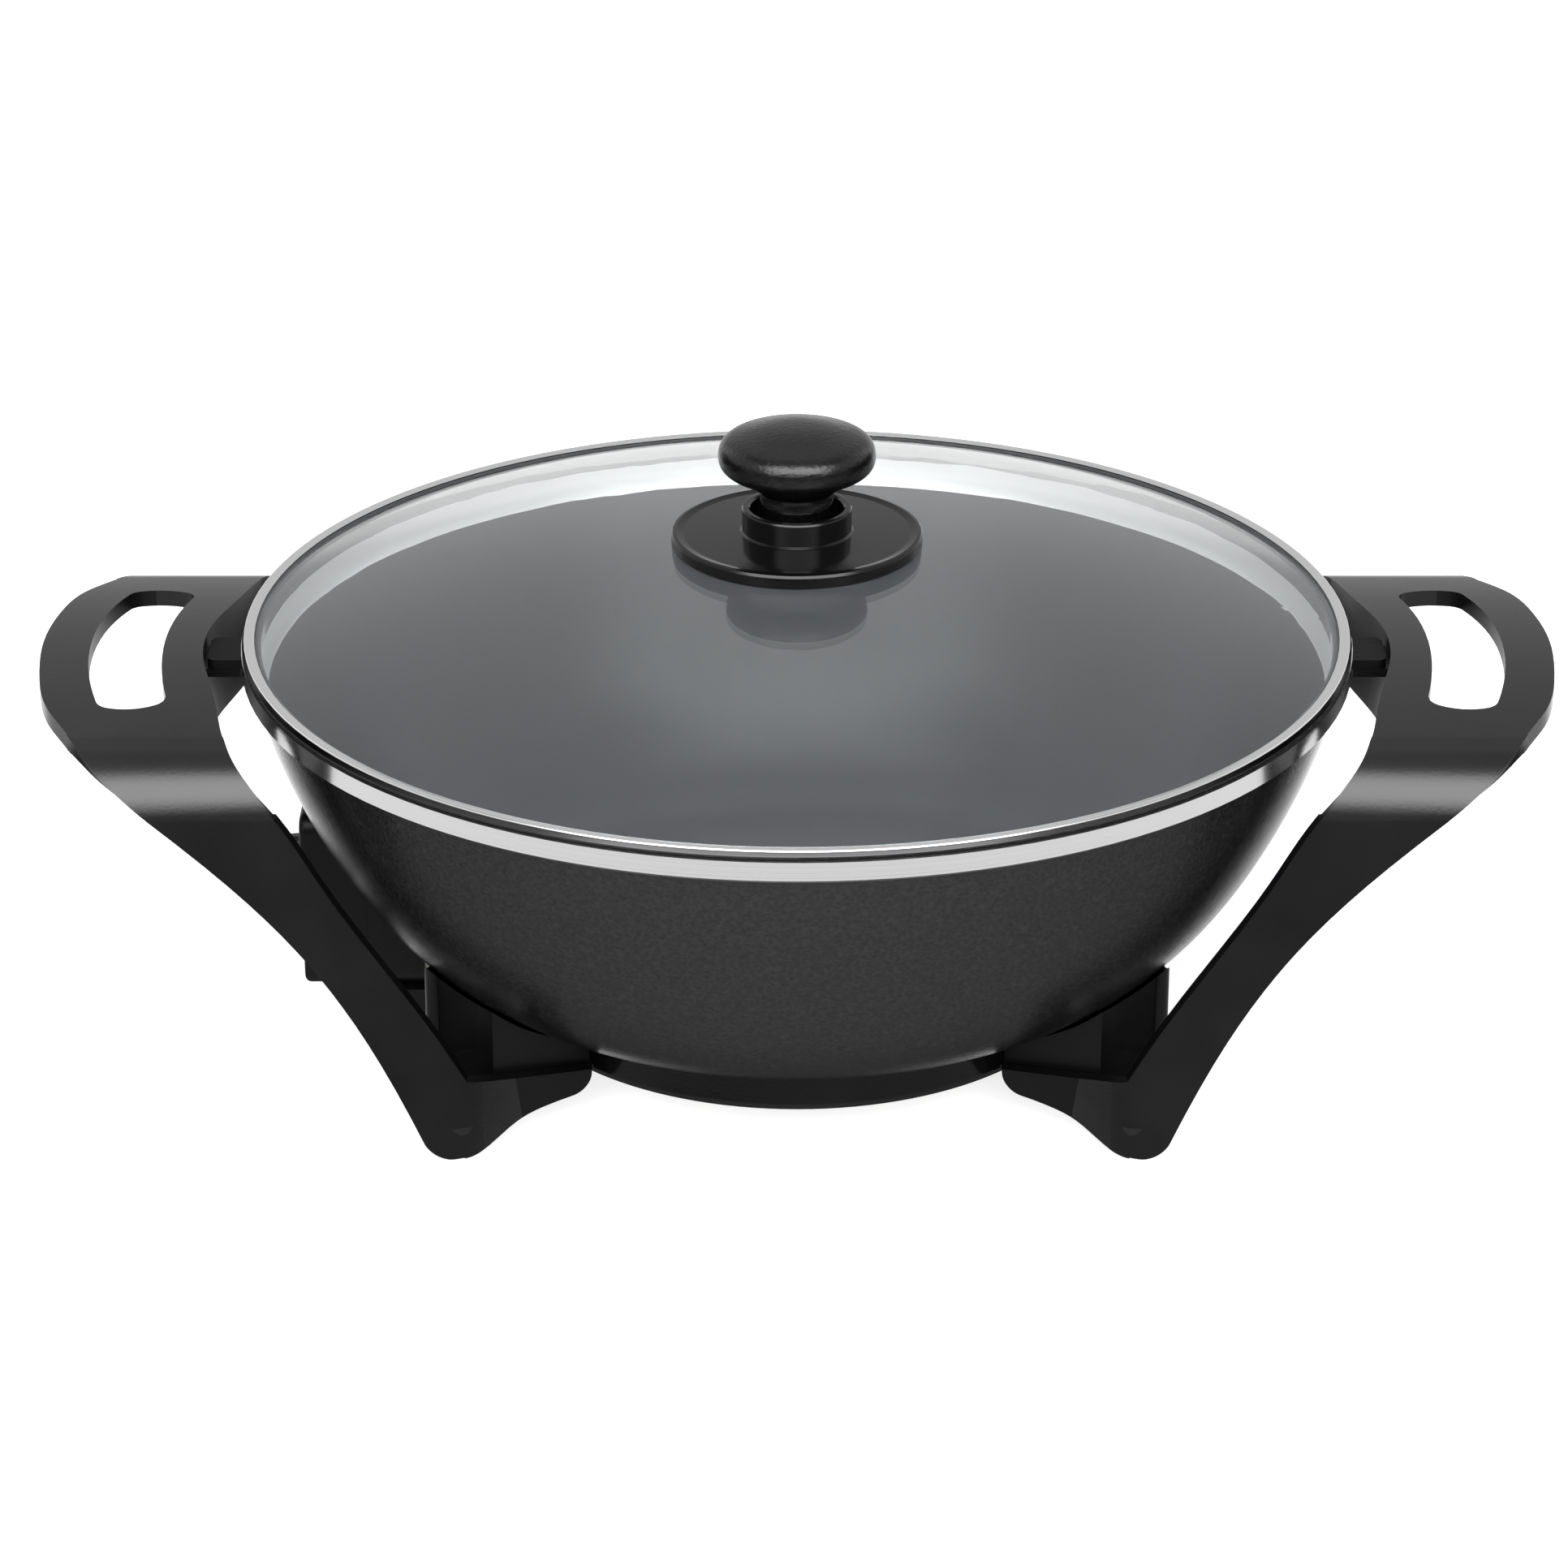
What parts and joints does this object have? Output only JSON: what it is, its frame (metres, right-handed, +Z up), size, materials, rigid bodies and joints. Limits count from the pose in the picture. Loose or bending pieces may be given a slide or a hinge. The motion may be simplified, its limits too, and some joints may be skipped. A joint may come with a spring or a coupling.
{
  "type": "electric skillet",
  "caption": "Round deep electric skillet: coated bowl, domed glass lid with knob, handle-and-leg mouldings, heated base and plug-in temperature control.",
  "frame": {"origin": "on the floor under the centre of the bowl", "axes": "+Z up along the bowl's axis, +X to the right through the handles, -Y to the front"},
  "size_m": [0.4496, 0.33, 0.1916],
  "materials": {
    "pan_coat": "textured non-stick coat over cast aluminium, bare polished rim",
    "element_steel": "satin",
    "pin_steel": "polished",
    "ceramic": "unglazed ceramic",
    "screw_steel": "satin",
    "gloss_black": "glossy phenolic",
    "satin_black": "satin phenolic",
    "pad_rubber": "matte",
    "contact_brass": "plain",
    "lens_red": "translucent",
    "lamp_glass": "clear",
    "dial_black": "satin with pale marks",
    "lid_glass": "clear tempered",
    "rim_steel": "polished stainless steel",
    "gasket_rubber": "matte silicone",
    "knob_black": "satin phenolic with a fine grain"
  },
  "bodies": {
    "base": {"pan_body": "pan_coat", "heating_element": "element_steel", "terminal_pins": "pin_steel", "pin_insulators": "ceramic", "probe_well": "element_steel", "element_clamps": "element_steel", "clamp_screws": "screw_steel", "heat_shield": "element_steel", "base_ring": "gloss_black", "shield_screws": "screw_steel", "ring_screws": "screw_steel", "socket_shroud": "satin_black", "yoke_left": "satin_black", "yoke_right": "satin_black", "handle_left": "satin_black", "handle_right": "satin_black", "handle_screws": "screw_steel", "leg_screws": "screw_steel", "foot_pads": "pad_rubber"},
    "control": {"control_housing": "satin_black", "control_cover": "satin_black", "control_screws": "screw_steel", "contact_block": "ceramic", "contact_sleeves": "contact_brass", "thermostat_probe": "pin_steel", "thermostat_blade": "contact_brass", "lamp_lens": "lens_red", "pilot_lamp": "lamp_glass", "cord_gland": "pad_rubber"},
    "dial_knob": {"dial": "dial_black", "dial_shaft": "pin_steel"},
    "lid": {"lid_glass": "lid_glass", "lid_rim": "rim_steel", "lid_gasket": "gasket_rubber", "knob_base": "gloss_black", "knob_seal": "gasket_rubber", "knob_cap": "knob_black", "knob_washer": "screw_steel", "knob_screw": "screw_steel"}
  },
  "joints": [
    {"name": "lid_lift", "type": "slide", "parent": "base", "child": "lid", "axis": [0, 0, 1], "range_m": [0, 0.12]},
    {"name": "control_unplug", "type": "slide", "parent": "base", "child": "control", "axis": [-1, 0, 0], "range_m": [0, 0.07]},
    {"name": "dial_turn", "type": "hinge", "parent": "control", "child": "dial_knob", "pos_m": [-0.15, 0, 0.044], "axis": [-1, 0, 0], "range_deg": [0, 270]}
  ]
}
